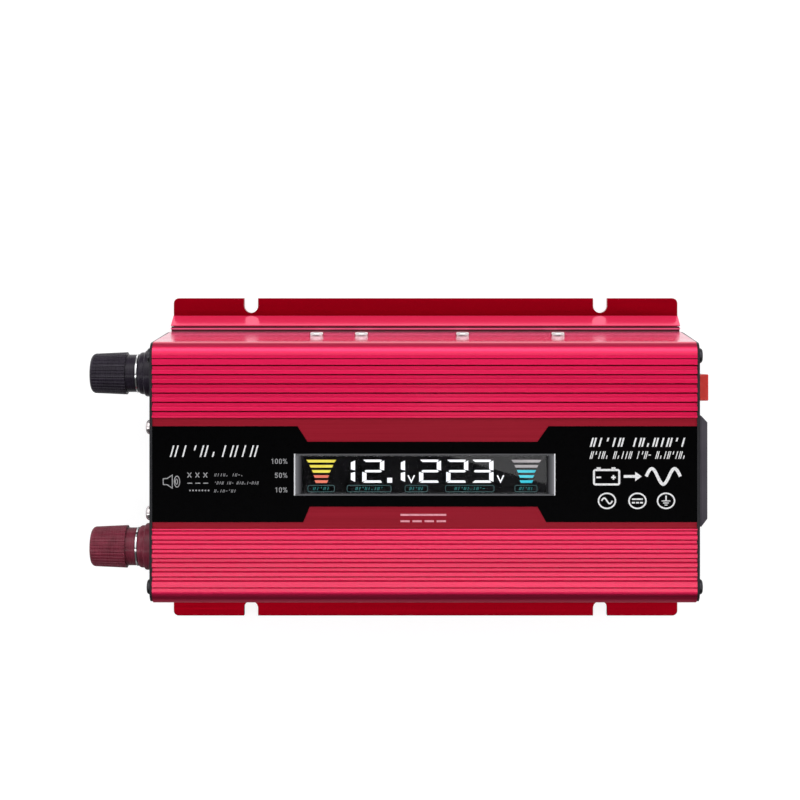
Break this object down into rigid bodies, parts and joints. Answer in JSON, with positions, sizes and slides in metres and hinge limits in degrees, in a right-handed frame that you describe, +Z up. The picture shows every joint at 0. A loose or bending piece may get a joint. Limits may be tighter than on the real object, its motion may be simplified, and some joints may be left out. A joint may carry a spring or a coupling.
{
  "type": "power inverter",
  "caption": "Finned red aluminium power inverter with flanged base, screw-down battery terminals, fan, digital display, rocker switch and mains outlet.",
  "frame": {"origin": "on the underside of the base, midway between the four mounting notches", "axes": "+X towards the outlet end, +Y towards the rear wall with the clamp screws, +Z up out of the label"},
  "size_m": [0.2342, 0.126, 0.058],
  "materials": {
    "red_anodised": "glossy red anodised extrusion",
    "deep_red_anodised": "deep red anodised extrusion, less polished than the cover",
    "black_steel": "satin black powder coat",
    "black_screw": "black oxide",
    "bright_screw": "bright nickel plate",
    "label_film": "gloss black overlay film",
    "bezel_silver": "bright silvered plastic",
    "clear_window": "clear acrylic",
    "lcd_glass": "dark display glass",
    "white_plastic": "white moulding",
    "circuit_board": "green solder resist",
    "grey_ribbon": "flat cable",
    "thermal_pad": "soft silicone sheet",
    "zinc_steel": "zinc plate",
    "brass": "machined",
    "copper_strip": "bare copper strip",
    "copper_wire": "enamelled wire",
    "capacitor_sleeve": "shrink sleeve",
    "winding_tape": "polyester tape over copper turns",
    "ferrite": "ground ferrite",
    "fuse_green": "translucent moulding",
    "black_moulding": "fine texture",
    "black_knob": "phenolic",
    "red_knob": "phenolic",
    "nickel_washer": "nickel plate",
    "red_rocker": "translucent red moulding",
    "outlet_moulding": "satin dark grey moulding"
  },
  "bodies": {
    "case": {"ac_end_plate": "black_steel", "ac_plate_screws": "black_screw", "base_tray": "deep_red_anodised", "blade_fuse_1": "fuse_green", "blade_fuse_2": "fuse_green", "board_screws": "bright_screw", "board_standoffs": "brass", "bus_capacitor": "capacitor_sleeve", "buzzer": "black_moulding", "clamp_bars": "zinc_steel", "clamp_screws": "bright_screw", "dc_end_plate": "black_steel", "dc_plate_screws": "black_screw", "display_bezel": "bezel_silver", "display_board": "circuit_board", "display_ribbon": "grey_ribbon", "display_screws": "bright_screw", "display_spacers": "white_plastic", "display_window": "clear_window", "fan_frame": "black_moulding", "fan_screws": "bright_screw", "input_capacitor_1": "capacitor_sleeve", "input_capacitor_2": "capacitor_sleeve", "label_overlay": "label_film", "lcd_backlight": "white_plastic", "lcd_glass": "lcd_glass", "main_board": "circuit_board", "negative_busbar": "copper_strip", "negative_collar": "black_knob", "negative_nut": "brass", "negative_stud": "brass", "outlet_contacts": "brass", "outlet_face": "outlet_moulding", "outlet_housing": "outlet_moulding", "output_choke": "copper_wire", "positive_busbar": "copper_strip", "positive_collar": "red_knob", "positive_nut": "brass", "positive_stud": "brass", "switch_body": "black_moulding", "switch_tabs": "brass", "thermal_pad": "thermal_pad", "top_cover": "red_anodised", "transformer_core_1": "ferrite", "transformer_core_2": "ferrite", "transformer_winding_1": "winding_tape", "transformer_winding_2": "winding_tape", "transistor_1": "black_moulding", "transistor_2": "black_moulding", "transistor_3": "black_moulding", "transistor_4": "black_moulding", "usb_board": "circuit_board", "usb_shell": "zinc_steel", "usb_tongue": "white_plastic"},
    "fan_rotor": {"fan_rotor": "black_moulding"},
    "rocker": {"switch_rocker": "red_rocker"},
    "negative_washer": {"negative_washer": "nickel_washer"},
    "negative_knob": {"negative_knob": "black_knob"},
    "positive_washer": {"positive_washer": "nickel_washer"},
    "positive_knob": {"positive_knob": "red_knob"}
  },
  "joints": [
    {"name": "rocker_tilt", "type": "hinge", "parent": "case", "child": "rocker", "pos_m": [0.0995, 0.03, 0.031], "axis": [0, -1, 0], "range_deg": [0, 24]},
    {"name": "fan_spin", "type": "hinge", "parent": "case", "child": "fan_rotor", "pos_m": [-0.095, 0, 0.031], "axis": [-1, 0, 0], "continuous": true},
    {"name": "negative_washer_slide", "type": "slide", "parent": "case", "child": "negative_washer", "axis": [-1, 0, 0], "range_m": [0, 0.006]},
    {"name": "negative_knob_turn", "type": "hinge", "parent": "negative_washer", "child": "negative_knob", "pos_m": [-0.1096, 0.035, 0.031], "axis": [-1, 0, 0], "range_deg": [0, 2160]},
    {"name": "positive_washer_slide", "type": "slide", "parent": "case", "child": "positive_washer", "axis": [-1, 0, 0], "range_m": [0, 0.006]},
    {"name": "positive_knob_turn", "type": "hinge", "parent": "positive_washer", "child": "positive_knob", "pos_m": [-0.1096, -0.031, 0.031], "axis": [-1, 0, 0], "range_deg": [0, 2160]}
  ],
  "couplings": [
    {"joint": "negative_knob_turn", "follows": "negative_washer_slide", "rad_per_m": 6283.2},
    {"joint": "positive_knob_turn", "follows": "positive_washer_slide", "rad_per_m": 6283.2}
  ]
}
